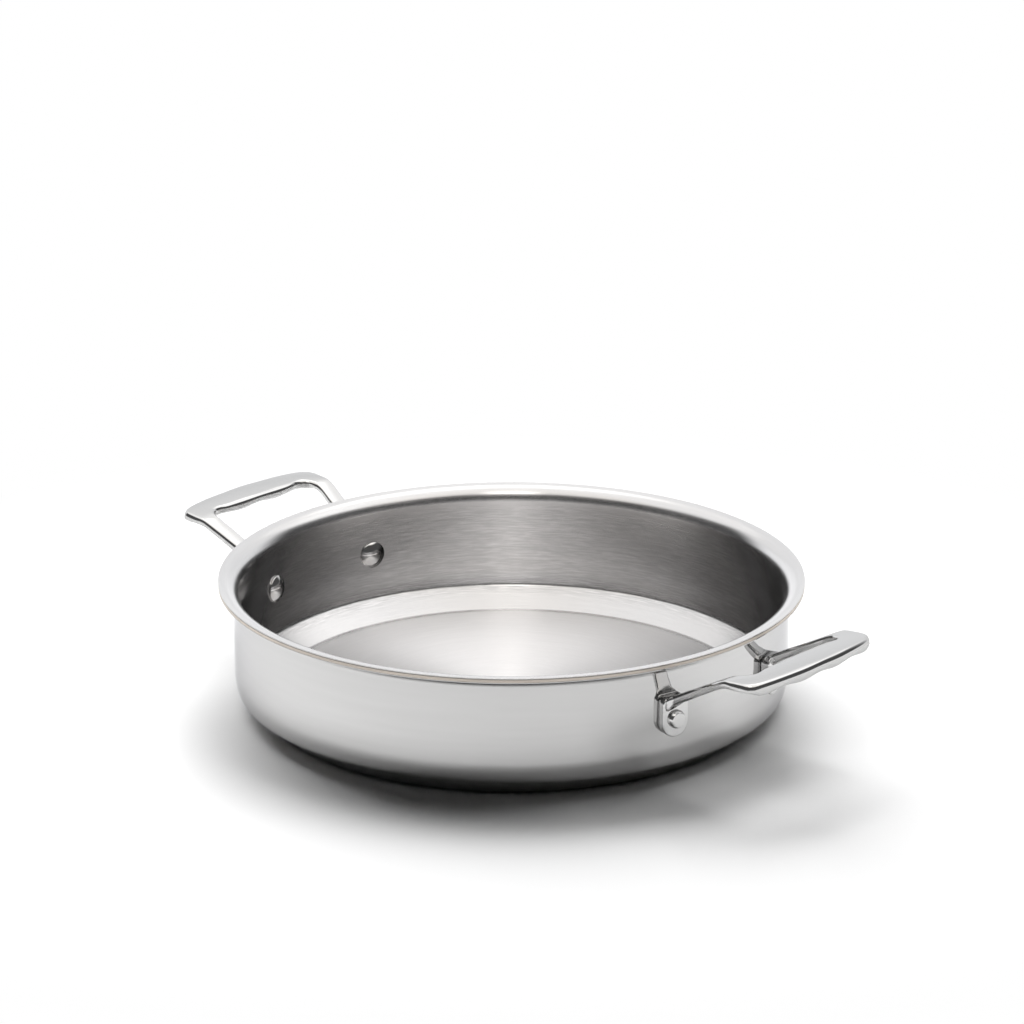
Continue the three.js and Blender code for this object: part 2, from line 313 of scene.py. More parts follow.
def turn_profile(profile, steps):
    """Skin of a profile turned about Z: point (i, j) is (r_i cos a_j, r_i sin a_j, z_i).

    The profile's first and last points lie on the axis and become the poles.
    """
    angle = np.linspace(0.0, 2.0 * math.pi, steps, endpoint=False)
    radius = profile[1:-1, :1]
    height = np.repeat(profile[1:-1, 1:], steps, axis=1)
    rings = np.stack([radius * np.cos(angle), radius * np.sin(angle), height], axis=-1)
    start = (0.0, 0.0, profile[0, 1])
    end = (0.0, 0.0, profile[-1, 1])
    return skin_rings(rings, start, end)


def join_skins(skins):
    """One vertex array and one face list from several skins."""
    vertices = np.concatenate([skin[0] for skin in skins])
    faces = []
    offset = 0
    for points, groups in skins:
        faces.extend(group + offset for group in groups)
        offset += len(points)
    return vertices, faces


def make_piece(name, skin, material, node):
    """A smooth mesh object of a skin, at the origin, riding on the pan and standing for its solid."""
    vertices, groups = skin
    sizes = np.concatenate([np.full(len(group), group.shape[1]) for group in groups])
    corners = np.concatenate([group.ravel() for group in groups])
    mesh = bpy.data.meshes.new(name)
    mesh.vertices.add(len(vertices))
    mesh.vertices.foreach_set("co", vertices.astype(np.float32).ravel())
    mesh.loops.add(len(corners))
    mesh.loops.foreach_set("vertex_index", corners.astype(np.int32))
    mesh.polygons.add(len(sizes))
    starts = np.concatenate([[0], np.cumsum(sizes)[:-1]])
    mesh.polygons.foreach_set("loop_start", starts.astype(np.int32))
    mesh.polygons.foreach_set("use_smooth", np.ones(len(sizes), bool))
    mesh.update(calc_edges=True)
    mesh.validate()
    mesh.materials.append(material)
    piece = bpy.data.objects.new(name, mesh)
    bpy.context.scene.collection.objects.link(piece)
    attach(piece, "root")
    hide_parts(node)
    return piece


def keep_slope(piece):
    """Keeps how far each point of a mesh faces up, the z of its normal, as the attribute slope."""
    mesh = piece.data
    normals = np.empty(3 * len(mesh.vertices), np.float32)
    mesh.vertices.foreach_get("normal", normals)
    slope = mesh.attributes.new("slope", "FLOAT", "POINT")
    slope.data.foreach_set("value", np.ascontiguousarray(normals[2::3]))


def arc(centre, radius, start, end, steps):
    """Points on a circle arc: centre plus radius times (cos, sin) of an angle from start to end."""
    angle = np.linspace(start, end, steps)[:, None]
    return np.asarray(centre) + radius * np.concatenate([np.cos(angle), np.sin(angle)], axis=1)


def straight(start, end, steps):
    """Points spaced evenly from start to end, with one more close to each end to keep the face flat."""
    share = np.concatenate([[0.02], np.linspace(0.0, 1.0, steps + 2)[1:-1], [0.98]])[:, None]
    return np.asarray(start) * (1.0 - share) + np.asarray(end) * share


def rounded_corner(before, corner, after, radius, steps):
    """Points of a fillet in a corner: a quadratic bend between the points a radius away on both sides."""
    before, corner, after = (np.asarray(point) for point in (before, corner, after))
    enter = corner + radius * (before - corner) / np.linalg.norm(before - corner)
    leave = corner + radius * (after - corner) / np.linalg.norm(after - corner)
    t = np.linspace(0.0, 1.0, steps)[:, None]
    return (1.0 - t) ** 2 * enter + 2.0 * t * (1.0 - t) * corner + t ** 2 * leave


def foot_section(sizes, depth):
    """Section of the foot at one depth: a bend, a cone, a second bend and a slow curve up to the wall.

    All three curves keep their centres, and their radii are less by the depth. The centres of the two bends
    lie on a line of the cone's slope.
    """
    lean = sizes.foot_lean
    slope = sizes.foot_slope
    curve_at = np.array([sizes.wall_radius - sizes.foot_curve, sizes.foot_height])
    knee_at = curve_at + (sizes.foot_curve - sizes.foot_bend) * np.array([math.cos(lean), -math.sin(lean)])
    drop = knee_at[1] - sizes.foot_bend
    base_at = knee_at - np.array([drop / math.tan(slope), drop])
    bend = sizes.foot_bend - depth
    low = arc(base_at, bend, -math.pi / 2.0, slope - math.pi / 2.0, 14)
    high = arc(knee_at, bend, slope - math.pi / 2.0, -lean, 14)
    curve = arc(curve_at, sizes.foot_curve - depth, -lean, 0.0, 12)
    return np.concatenate([low, straight(low[-1], high[0], 8), high[:-1], curve])


def body_section(sizes, depth):
    """Section of the body at one depth under its outside face, from the axis to just before the cut edge.

    Flat base, foot, straight wall, bend of the lip radius plus the depth, and the lip's straight slope.
    The last point is where that slope meets the cut.
    """
    corner = foot_section(sizes, depth)
    bend_at = sizes.wall_radius + sizes.lip_bend
    top_bend = sizes.lip_bend + sizes.sheet
    run = sizes.rim_radius - bend_at + top_bend * math.sin(sizes.lip_rise)
    rise = top_bend * math.cos(sizes.lip_rise) + run * math.tan(sizes.lip_rise)
    bend_height = sizes.height - rise
    bend = arc((bend_at, bend_height), sizes.lip_bend + depth, math.pi, math.pi / 2.0 + sizes.lip_rise, 24)
    reach = sizes.rim_radius - bend[-1, 0]
    edge = (sizes.rim_radius, bend[-1, 1] + reach * math.tan(sizes.lip_rise))
    axis = (0.0, depth)
    base = straight(axis, corner[0], 24)
    wall = straight(corner[-1], bend[0], 20)
    lip = straight(bend[-1], edge, 4)[:-1]
    return np.concatenate([[axis], base, corner, wall, bend, lip, [edge]])


def ply_profile(sizes, outer_depth, inner_depth, outer_round, inner_round, recess):
    """Closed profile of one ply: along its outer face, up its cut edge with two fillets, and back."""
    outside = body_section(sizes, outer_depth)
    inside = body_section(sizes, inner_depth)
    low = outside[-1] - (recess, 0.0)
    high = inside[-1] - (recess, 0.0)
    low_bend = rounded_corner(outside[-2], low, high, outer_round, 6)
    high_bend = rounded_corner(low, high, inside[-2], inner_round, 7)
    return np.concatenate([outside[:-1], low_bend, high_bend, inside[-2::-1]])


def spline(points, t):
    """Uniform Catmull-Rom curve through the points, at shares t of its length in spans."""
    count = len(points)
    place = np.clip(t, 0.0, 1.0) * (count - 1)
    span = np.minimum(place.astype(int), count - 2)
    w = (place - span)[:, None]
    p0 = points[np.maximum(span - 1, 0)]
    p1 = points[span]
    p2 = points[span + 1]
    p3 = points[np.minimum(span + 2, count - 1)]
    v0 = (p2 - p0) / 2.0
    v1 = (p3 - p1) / 2.0
    cubic = 2.0 * p1 - 2.0 * p2 + v0 + v1
    square = -3.0 * p1 + 3.0 * p2 - 2.0 * v0 - v1
    return cubic * w ** 3 + square * w ** 2 + v0 * w + p1


def smooth_step(value, low, high):
    """0 below low, 1 above high, and 3s^2 - 2s^3 of the share s between."""
    share = np.clip((value - low) / (high - low), 0.0, 1.0)
    return share * share * (3.0 - 2.0 * share)


def handle_top(sizes, out, along):
    """Height of the handle's top: the lower of the arm's and the crowned grip's slope, blended smoothly."""
    crown = sizes.grip_crown * (1.0 - (along / GRIP_HALF) ** 2)
    arm = sizes.arm_height + ARM_SLOPE * (out - SHOULDER)
    grip = sizes.grip_height + GRIP_SLOPE * (out - SHOULDER) + crown
    return (arm + grip - np.hypot(arm - grip, SHOULDER_BLEND)) / 2.0


def grip_share(out):
    """0 on the arms and 1 on the grip."""
    return smooth_step(out, SHOULDER, SHOULDER + SHOULDER_RUN)


def handle_depth(sizes, out, along, side):
    """Thickness of the handle: tapered arms, and a bellied grip less a cosine of finger waves."""
    wave = sizes.wave * np.cos(2.0 * math.pi * along / WAVE_LENGTH)
    belly = sizes.grip_belly * (1.0 - (along / GRIP_HALF) ** 2)
    lift = END_LIFT * smooth_step(np.abs(along), END_LIFT_FROM, GRIP_HALF)
    grip = sizes.grip_depth + belly + GRIP_TILT * side - wave - lift
    reach = np.clip((out - ARM_ROOT) / (SHOULDER - ARM_ROOT), 0.0, 1.0)
    arm = sizes.arm_root_depth + (sizes.arm_end_depth - sizes.arm_root_depth) * reach
    share = grip_share(out)
    return arm + (grip - arm) * share


def loop_edges(sizes, pad_face):
    """Inner and outer edge of the loop in plan, the direction from one to the other, and the root's flare.

    The flare is the rise of a quarter circle that starts a fillet's radius before the pad.
    """
    t = np.linspace(ARM_TRIM, 1.0 - ARM_TRIM, LOOP_STEPS + 1)
    inner = spline(np.concatenate([INNER_EDGE[:0:-1] * (1.0, -1.0), INNER_EDGE]), t)
    outer = spline(np.concatenate([OUTER_EDGE[:0:-1] * (1.0, -1.0), OUTER_EDGE]), t)
    middle = (inner + outer) / 2.0
    clear = np.hypot(middle[:, 0], middle[:, 1]) - pad_face
    close = np.clip(1.0 - clear / sizes.root_fillet, 0.0, 1.0)
    flare = sizes.root_fillet * (1.0 - np.sqrt(1.0 - close ** 2)) * FLARE_SHARE
    across = outer - inner
    across /= np.linalg.norm(across, axis=1)[:, None]
    return inner, outer, across, flare[:, None]


def loop_rounds(sizes, share, inner_depth, outer_depth):
    """Width of the bar's rounds, and their heights: outer top, outer under, inner top and inner under.

    The outer top is drawn out on the whole loop and the inner top on the arms alone. Both leave out the
    finger waves, so that they run even.
    """
    bend = sizes.arm_round + (sizes.grip_round - sizes.arm_round) * share
    bend = np.minimum(bend, ROUND_LIMIT * np.minimum(inner_depth, outer_depth))
    plain = sizes.arm_end_depth + (sizes.grip_depth - sizes.arm_end_depth) * share
    outer_top = np.maximum(bend, OUTER_SHARE * plain)
    outer_under = np.minimum(bend, SIDE_LIMIT * outer_depth - outer_top)
    inner_top = bend + (INNER_SHARE * plain - bend) * (1.0 - share)
    inner_under = np.minimum(bend, SIDE_LIMIT * inner_depth - inner_top)
    return bend, outer_top, outer_under, inner_top, inner_under


def loop_skin(sizes, pad_face):
    """The bar of the handle from pad to pad: a rounded section carried along the loop.

    A section lies between the inner and the outer edge curve. It is a quadrangle with a crowned top, and its
    corners are quarter ellipses. A fillet widens it where it runs into the pad.
    """
    inner, outer, across, flare = loop_edges(sizes, pad_face)
    share = grip_share((inner[:, :1] + outer[:, :1]) / 2.0)
    top_in = handle_top(sizes, inner[:, :1], inner[:, 1:])
    top_out = handle_top(sizes, outer[:, :1], outer[:, 1:])
    under_in = top_in - handle_depth(sizes, inner[:, :1], inner[:, 1:], -1.0) - flare
    under_out = top_out - handle_depth(sizes, outer[:, :1], outer[:, 1:], 1.0) - flare
    inner = inner - across * flare
    outer = outer + across * flare
    width = np.linalg.norm(outer - inner, axis=1)[:, None]
    rounds = loop_rounds(sizes, share, top_in - under_in, top_out - under_out)
    bend, outer_top, outer_under, inner_top, inner_under = rounds
    quarter = np.linspace(0.0, math.pi / 2.0, 10)[None, :]
    line = np.linspace(0.0, 1.0, 8)[None, 1:-1]
    long_line = np.linspace(0.0, 1.0, 16)[None, 1:-1]
    inset = bend * (1.0 - np.cos(quarter))
    fall = 1.0 - np.sin(quarter)

    def top_at(place):
        level = top_in + (top_out - top_in) * place / width
        return level + TOP_CURVE * (1.0 - (2.0 * place / width - 1.0) ** 2)

    def under_at(place):
        return under_in + (under_out - under_in) * place / width

    zero = np.zeros_like(width)
    side_in = zero + 0.0 * line
    top_arc_in = inset
    top_run = bend + (width - 2.0 * bend) * long_line
    top_arc_out = width - inset[:, ::-1]
    side_out = width + 0.0 * line
    under_arc_out = width - inset
    under_run = (width - bend) - (width - 2.0 * bend) * long_line
    under_arc_in = inset[:, ::-1]
    place = np.concatenate([
        side_in, top_arc_in, top_run, top_arc_out, side_out, under_arc_out, under_run, under_arc_in], axis=1)
    side_in_low = under_at(zero) + inner_under
    side_in_high = top_at(zero) - inner_top
    side_out_low = under_at(width) + outer_under
    side_out_high = top_at(width) - outer_top
    height = np.concatenate([
        side_in_low + (side_in_high - side_in_low) * line,
        top_at(top_arc_in) - inner_top * fall,
        top_at(top_run),
        top_at(top_arc_out) - outer_top * fall[:, ::-1],
        side_out_high + (side_out_low - side_out_high) * line,
        under_at(under_arc_out) + outer_under * fall,
        under_at(under_run),
        under_at(under_arc_in) + inner_under * fall[:, ::-1],
    ], axis=1)
    plan = inner[:, None, :] + across[:, None, :] * place[:, :, None]
    rings = np.concatenate([plan, height[:, :, None]], axis=2)
    return skin_rings(rings, rings[0].mean(axis=0), rings[-1].mean(axis=0))


def tongue(sizes, inset):
    """Outline of a pad, across and up, drawn in by inset: round bottom, straight sides, round corners."""
    half = sizes.pad_width / 2.0 - inset
    low = sizes.pad_bottom + sizes.pad_width / 2.0
    top = sizes.pad_top - inset
    bend = max(PAD_TOP_ROUND - inset, PAD_LEAST_ROUND)
    bottom = arc((0.0, low), half, math.pi, 2.0 * math.pi, 40)
    right = straight((half, low), (half, top - bend), 6)
    right_bend = arc((half - bend, top - bend), bend, 0.0, math.pi / 2.0, 12)
    across = straight((half - bend, top), (bend - half, top), 6)
    left_bend = arc((bend - half, top - bend), bend, math.pi / 2.0, math.pi, 12)
    left = straight((-half, top - bend), (-half, low), 6)
    return np.concatenate([bottom, right, right_bend, across, left_bend, left])


def pad_skin(sizes, angle, back, front, rivet_height):
    """A mounting pad wrapped on the wall: its outline runs from the back face round the edge to the front.

    Point (a, b) of an outline at distance d lies on the upright cylinder of radius d at height b, and is
    turned from the angle by a over the front's radius.
    """
    quarter = np.linspace(0.0, math.pi / 2.0, 8)
    edge_inset = sizes.pad_round * (1.0 - np.cos(quarter))
    edge_out = front - sizes.pad_round * (1.0 - np.sin(quarter))
    middle = np.array([0.0, rivet_height])
    flat = tongue(sizes, 0.0)
    face = tongue(sizes, sizes.pad_round)
    outlines = [middle + (flat - middle) * share for share in PAD_RINGS[::-1]]
    distances = [back] * len(PAD_RINGS)
    outlines += [flat, flat]
    distances += [back, back + 0.5 * (edge_out[0] - back)]
    outlines += [tongue(sizes, inset) for inset in edge_inset]
    distances += list(edge_out)
    outlines += [middle + (face - middle) * share for share in PAD_RINGS]
    distances += [front] * len(PAD_RINGS)
    grid = np.array(outlines)
    distance = np.array(distances)[:, None]
    turn = angle + grid[:, :, 0] / front
    rings = np.stack([distance * np.cos(turn), distance * np.sin(turn), grid[:, :, 1]], axis=-1)
    ray = np.array([math.cos(angle), math.sin(angle), 0.0])
    lift = np.array([0.0, 0.0, rivet_height])
    return skin_rings(rings, ray * back + lift, ray * front + lift)


def turn_about_z(skin, angle):
    """A skin turned about the pan's axis."""
    vertices, faces = skin
    spin = np.array([
        [math.cos(angle), -math.sin(angle), 0.0],
        [math.sin(angle), math.cos(angle), 0.0],
        [0.0, 0.0, 1.0],
    ])
    return vertices @ spin.T, faces


def rivet_profile(sizes):
    """Profile of a rivet along its axis: a dome, its seat, the shank and a bevelled tail."""
    radius = (sizes.head_radius ** 2 + sizes.head_height ** 2) / (2.0 * sizes.head_height)
    reach = math.asin(sizes.head_radius / radius)
    tip = sizes.head_back - sizes.head_height
    dome = arc((0.0, tip + radius), radius, -math.pi / 2.0, -math.pi / 2.0 + reach, 22)
    rim = (sizes.head_radius, sizes.head_back)
    seat = (sizes.head_radius, sizes.head_seat)
    neck = (sizes.shank_radius, sizes.head_seat)
    root = (sizes.shank_radius, sizes.tail_seat)
    foot = (sizes.tail_radius, sizes.tail_seat)
    waist = (sizes.tail_radius, sizes.tail_seat + TAIL_WAIST * (sizes.tail_end - sizes.tail_seat))
    face = (sizes.tail_face, sizes.tail_end)
    centre = (0.0, sizes.tail_end)
    return np.concatenate([
        dome[:-1],
        rounded_corner(dome[-2], rim, seat, DOME_RIM_ROUND, 5),
        rounded_corner(rim, seat, neck, SEAT_ROUND, 4),
        straight(seat, neck, 1),
        straight(neck, root, 3),
        straight(root, foot, 1),
        rounded_corner(root, foot, waist, SEAT_ROUND, 4),
        rounded_corner(foot, waist, face, SHOULDER_ROUND, 8),
        rounded_corner(waist, face, centre, TAIL_FACE_ROUND, 7),
        straight(face, centre, 6)[1:],
        [centre],
    ])


def rivet_skin(sizes, angle):
    """A rivet turned about its own axis and laid along a ray from the pan's axis."""
    vertices, faces = turn_profile(rivet_profile(sizes), RIVET_STEPS)
    ray = np.array([math.cos(angle), math.sin(angle), 0.0])
    beside = np.array([-math.sin(angle), math.cos(angle), 0.0])
    upward = np.array([0.0, 0.0, 1.0])
    placed = vertices @ np.stack([beside, upward, ray])
    return placed + upward * sizes.height, faces


def feed(tree, value, socket):
    """Sets a socket to a plain value, or links an output to it."""
    if isinstance(value, bpy.types.NodeSocket):
        tree.links.new(value, socket)
    else:
        socket.default_value = value


def math_node(tree, operation, first, second=0.0):
    """Output of a Math node."""
    node = tree.nodes.new("ShaderNodeMath")
    node.operation = operation
    feed(tree, first, node.inputs[0])
    feed(tree, second, node.inputs[1])
    return node.outputs[0]


def map_range(tree, value, low, high, to_low, to_high, smooth=False):
    """Output of a clamped Map Range node."""
    node = tree.nodes.new("ShaderNodeMapRange")
    node.interpolation_type = "SMOOTHSTEP" if smooth else "LINEAR"
    for socket, entry in zip(node.inputs, (value, low, high, to_low, to_high)):
        feed(tree, entry, socket)
    return node.outputs[0]


def product(tree, first, second):
    """One value times another."""
    return math_node(tree, "MULTIPLY", first, second)


def total(tree, *parts):
    """The sum of several values, added in order."""
    result = parts[0]
    for part in parts[1:]:
        result = math_node(tree, "ADD", result, part)
    return result


def blend(tree, value, span, low, high):
    """A value that runs smoothly from low to high as another runs through a span."""
    return map_range(tree, value, span[0], span[1], low, high, smooth=True)


def scaled(tree, mask, low, high):
    """A value that runs evenly from low to high with a mask."""
    return map_range(tree, mask, 0.0, 1.0, low, high)


def noise(tree, vector, scale, detail, roughness):
    """Output of a Noise Texture."""
    node = tree.nodes.new("ShaderNodeTexNoise")
    feed(tree, vector, node.inputs["Vector"])
    node.inputs["Scale"].default_value = scale
    node.inputs["Detail"].default_value = detail
    node.inputs["Roughness"].default_value = roughness
    return node.outputs[0]


def new_group(name, inputs, outputs):
    """An empty node group with float sockets, its tree and its input and output nodes."""
    tree = bpy.data.node_groups.new(name, "ShaderNodeTree")
    for label, value in inputs:
        socket = tree.interface.new_socket(name=label, in_out="INPUT", socket_type="NodeSocketFloat")
        socket.default_value = value
    for label in outputs:
        tree.interface.new_socket(name=label, in_out="OUTPUT", socket_type="NodeSocketFloat")
    source = tree.nodes.new("NodeGroupInput")
    target = tree.nodes.new("NodeGroupOutput")
    return tree, source, target


def turned_grain_group():
    """Brush lines that run round the pan's axis.

    The noise is read at (x / r, y / r, r + z): slow along a circle and fast from one circle to the next.
    So the lines run round floor, corner, wall and lip without a seam. The bands are a broader noise of that
    kind.
    """
    name = "Turned grain"
    if name in bpy.data.node_groups:
        return bpy.data.node_groups[name]
    inputs = [("Fineness", 2600.0), ("Sweep", 5.0)]
    tree, source, target = new_group(name, inputs, ["Grain", "Bands", "Radius", "Height"])
    band_sweep, band_fineness = 0.4, 0.16
    least_radius = 0.004
    place = tree.nodes.new("ShaderNodeTexCoord").outputs["Object"]
    split = tree.nodes.new("ShaderNodeSeparateXYZ")
    tree.links.new(place, split.inputs[0])
    x, y, z = split.outputs
    radius = math_node(tree, "SQRT", total(tree, product(tree, x, x), product(tree, y, y)))
    safe = math_node(tree, "MAXIMUM", radius, least_radius)
    fine = tree.nodes.new("ShaderNodeCombineXYZ")
    broad = tree.nodes.new("ShaderNodeCombineXYZ")
    for axis, part in enumerate((x, y)):
        share = math_node(tree, "DIVIDE", part, safe)
        swept = product(tree, share, source.outputs["Sweep"])
        tree.links.new(swept, fine.inputs[axis])
        tree.links.new(product(tree, swept, band_sweep), broad.inputs[axis])
    lines = product(tree, total(tree, radius, z), source.outputs["Fineness"])
    tree.links.new(lines, fine.inputs[2])
    tree.links.new(product(tree, lines, band_fineness), broad.inputs[2])
    grain = noise(tree, fine.outputs[0], 1.0, 3.0, 0.65)
    bands = noise(tree, broad.outputs[0], 1.0, 2.0, 0.5)
    tree.links.new(map_range(tree, grain, 0.25, 0.75, 0.0, 1.0), target.inputs["Grain"])
    tree.links.new(map_range(tree, bands, 0.25, 0.75, 0.0, 1.0), target.inputs["Bands"])
    tree.links.new(radius, target.inputs["Radius"])
    tree.links.new(z, target.inputs["Height"])
    return tree


def handling_group():
    """Faint clouded marks of wiping and handling, and a fine grain, as two noises in the pan's own space."""
    name = "Handling marks"
    if name in bpy.data.node_groups:
        return bpy.data.node_groups[name]
    tree, source, target = new_group(name, [("Scale", 22.0)], ["Marks", "Fine"])
    place = tree.nodes.new("ShaderNodeTexCoord").outputs["Object"]
    quick_ratio = 40.0
    slow = tree.nodes.new("ShaderNodeTexNoise")
    quick = tree.nodes.new("ShaderNodeTexNoise")
    for node, detail in ((slow, 3.0), (quick, 2.0)):
        tree.links.new(place, node.inputs["Vector"])
        node.inputs["Detail"].default_value = detail
    tree.links.new(source.outputs["Scale"], slow.inputs["Scale"])
    tree.links.new(product(tree, source.outputs["Scale"], quick_ratio), quick.inputs["Scale"])
    tree.links.new(map_range(tree, slow.outputs[0], 0.35, 0.7, 0.0, 1.0), target.inputs["Marks"])
    tree.links.new(map_range(tree, quick.outputs[0], 0.3, 0.7, 0.0, 1.0), target.inputs["Fine"])
    return tree


def add_group(tree, group, **values):
    """A node of a shared group, with its inputs set."""
    node = tree.nodes.new("ShaderNodeGroup")
    node.node_tree = group
    for label, value in values.items():
        node.inputs[label].default_value = value
    return node


def new_metal(name, anisotropy):
    """A metal's material, its tree and its shader, brushed round Z where anisotropy is above 0."""
    material = bpy.data.materials.new(name)
    material.use_nodes = True
    tree = material.node_tree
    shader = tree.nodes["Principled BSDF"]
    shader.inputs["Metallic"].default_value = 1.0
    if anisotropy > 0.0:
        tangent = tree.nodes.new("ShaderNodeTangent")
        tangent.direction_type = "RADIAL"
        tangent.axis = "Z"
        shader.inputs["Anisotropic"].default_value = anisotropy
        shader.inputs["Anisotropic Rotation"].default_value = 0.25
        tree.links.new(tangent.outputs[0], shader.inputs["Tangent"])
    return material, tree, shader


def tint(tree, colour, mask, low, high):
    """The colour times a brightness that runs from low to high with a mask."""
    node = tree.nodes.new("ShaderNodeMix")
    node.data_type = "RGBA"
    feed(tree, mask, node.inputs["Factor"])
    node.inputs[6].default_value = (*(part * low for part in colour), 1.0)
    node.inputs[7].default_value = (*(min(part * high, 1.0) for part in colour), 1.0)
    return node.outputs[2]


def add_bump(tree, shader, height, strength, distance):
    """A Bump node on the shader's normal."""
    node = tree.nodes.new("ShaderNodeBump")
    node.inputs["Strength"].default_value = strength
    node.inputs["Distance"].default_value = distance
    tree.links.new(height, node.inputs["Height"])
    tree.links.new(node.outputs[0], shader.inputs["Normal"])


def interior_material(finishes):
    """Brushed steel: a satin floor, a smoother corner and lip, and a wall with flecks of coarse brushing.

    All lines run round the pan. Lines, flecks and a painted level of light for each zone add up to the
    colour's
    mask: the floor is painted lighter and the wall darker than the corner and lip, as painted light and
    shade.
    """
    material, tree, shader = new_metal("Brushed interior steel", 0.95)
    grain = add_group(tree, turned_grain_group(), Fineness=2600.0, Sweep=5.0)
    scratches = add_group(tree, turned_grain_group(), Fineness=1300.0, Sweep=14.0)
    marks = add_group(tree, handling_group(), Scale=22.0)
    wall_roughness, floor_roughness = 0.17, 0.46
    flecks = map_range(tree, scratches.outputs["Grain"], 0.30, 0.95, 0.0, 1.0)
    floor = blend(tree, grain.outputs["Radius"], FLOOR_EDGE, 1.0, 0.0)
    over_foot = blend(tree, grain.outputs["Radius"], WALL_FOOT, 0.0, 1.0)
    under_lip = blend(tree, grain.outputs["Height"], WALL_TOP, 1.0, 0.0)
    wall = product(tree, over_foot, under_lip)
    level = scaled(tree, floor, wall_roughness, floor_roughness)
    spread = product(tree, math_node(tree, "SUBTRACT", grain.outputs["Grain"], 0.4), 0.08)
    wiped = product(tree, marks.outputs["Marks"], 0.02)
    tree.links.new(total(tree, level, spread, wiped), shader.inputs["Roughness"])
    fine_lines = product(tree, grain.outputs["Grain"], 0.26)
    broad_lines = product(tree, grain.outputs["Bands"], 0.14)
    streaks = product(tree, total(tree, fine_lines, broad_lines), scaled(tree, wall, 0.5, 1.0))
    fleck_tint = product(tree, flecks, scaled(tree, wall, 0.06, 0.5))
    # painted light and shade by zone: the floor is painted lighter and the wall darker than the corner and
    # lip
    base = total(tree, scaled(tree, wall, 0.33, 0.0), product(tree, floor, 0.45))
    grain_and_painted_light = total(tree, total(tree, streaks, fleck_tint), base)
    tree.links.new(tint(tree, finishes.interior, grain_and_painted_light, 0.72, 1.26), shader.inputs["Base Color"])
    fine = product(tree, grain.outputs["Grain"], scaled(tree, floor, 0.1, 0.24))
    coarse = product(tree, flecks, scaled(tree, wall, 0.1, 0.7))
    add_bump(tree, shader, total(tree, fine, coarse), 0.3, 0.0001)
    return material


def exterior_material(finishes):
    """Polished steel with faint turned polishing lines and wiping marks, darker at grazing angles."""
    material, tree, shader = new_metal("Polished exterior steel", 0.5)
    shader.inputs["Specular Tint"].default_value = (0.72, 0.72, 0.73, 1.0)
    grain = add_group(tree, turned_grain_group(), Fineness=1900.0, Sweep=7.0)
    marks = add_group(tree, handling_group(), Scale=14.0)
    roughness = 0.045
    spread = product(tree, grain.outputs["Grain"], 0.02)
    wiped = product(tree, marks.outputs["Marks"], 0.02)
    tree.links.new(total(tree, spread, wiped, roughness), shader.inputs["Roughness"])
    shade = tint(tree, finishes.exterior, grain.outputs["Bands"], 0.975, 1.015)
    tree.links.new(shade, shader.inputs["Base Color"])
    add_bump(tree, shader, grain.outputs["Grain"], 0.03, 0.00003)
    return material


def core_material(finishes):
    """Raw aluminium of the cut edge, with turning lines and a dark band under the inner ply: a dark bond
    line with painted shade.
    """
    material, tree, shader = new_metal("Raw aluminium edge", 0.0)
    grain = add_group(tree, turned_grain_group(), Fineness=5200.0, Sweep=9.0)
    tree.links.new(scaled(tree, grain.outputs["Grain"], 0.38, 0.55), shader.inputs["Roughness"])
    # darker band under the inner ply: a dark bond line with painted shade
    seam = blend(tree, grain.outputs["Height"], CORE_SEAM_SHADE, 0.0, 1.0)
    streaks = scaled(tree, grain.outputs["Bands"], 0.76, 1.0)
    shade = math_node(tree, "SUBTRACT", streaks, product(tree, seam, 0.7))
    tree.links.new(tint(tree, finishes.core, shade, 0.2, 1.06), shader.inputs["Base Color"])
    add_bump(tree, shader, grain.outputs["Grain"], 0.2, 0.00005)
    return material


def handle_material(finishes):
    """Polished casting with fine grain and handling marks, left satin on the loop's sides and underside."""
    material, tree, shader = new_metal("Polished cast handle", 0.0)
    shader.inputs["Specular Tint"].default_value = (0.7, 0.7, 0.7, 1.0)
    marks = add_group(tree, handling_group(), Scale=34.0)
    roughness, satin_roughness = 0.10, 0.50
    place = tree.nodes.new("ShaderNodeTexCoord").outputs["Object"]
    split = tree.nodes.new("ShaderNodeSeparateXYZ")
    stretch = tree.nodes.new("ShaderNodeMapping")
    stretch.inputs["Scale"].default_value = (160.0, 1500.0, 1500.0)
    tree.links.new(place, split.inputs[0])
    tree.links.new(place, stretch.inputs["Vector"])
    slope = tree.nodes.new("ShaderNodeAttribute")
    slope.attribute_name = "slope"
    lines = noise(tree, stretch.outputs[0], 1.0, 2.0, 0.6)
    spread = map_range(tree, lines, 0.25, 0.75, -0.02, 0.02)
    wiped = product(tree, marks.outputs["Marks"], 0.03)
    loop = blend(tree, math_node(tree, "ABSOLUTE", split.outputs[0]), LOOP_ROOT, 0.0, 1.0)
    satin = product(tree, loop, blend(tree, slope.outputs["Fac"], SATIN_SLOPE, satin_roughness, 0.0))
    tree.links.new(total(tree, spread, wiped, roughness, satin), shader.inputs["Roughness"])
    tree.links.new(tint(tree, finishes.handle, lines, 0.95, 1.03), shader.inputs["Base Color"])
    add_bump(tree, shader, marks.outputs["Fine"], 0.03, 0.00003)
    return material


def rivet_material(finishes):
    """Mirror polished steel with a trace of wear."""
    material, tree, shader = new_metal("Mirror polished rivet", 0.0)
    marks = add_group(tree, handling_group(), Scale=90.0)
    tree.links.new(scaled(tree, marks.outputs["Marks"], 0.05, 0.10), shader.inputs["Roughness"])
    shade = tint(tree, finishes.rivet, marks.outputs["Fine"], 0.97, 1.02)
    tree.links.new(shade, shader.inputs["Base Color"])
    return material


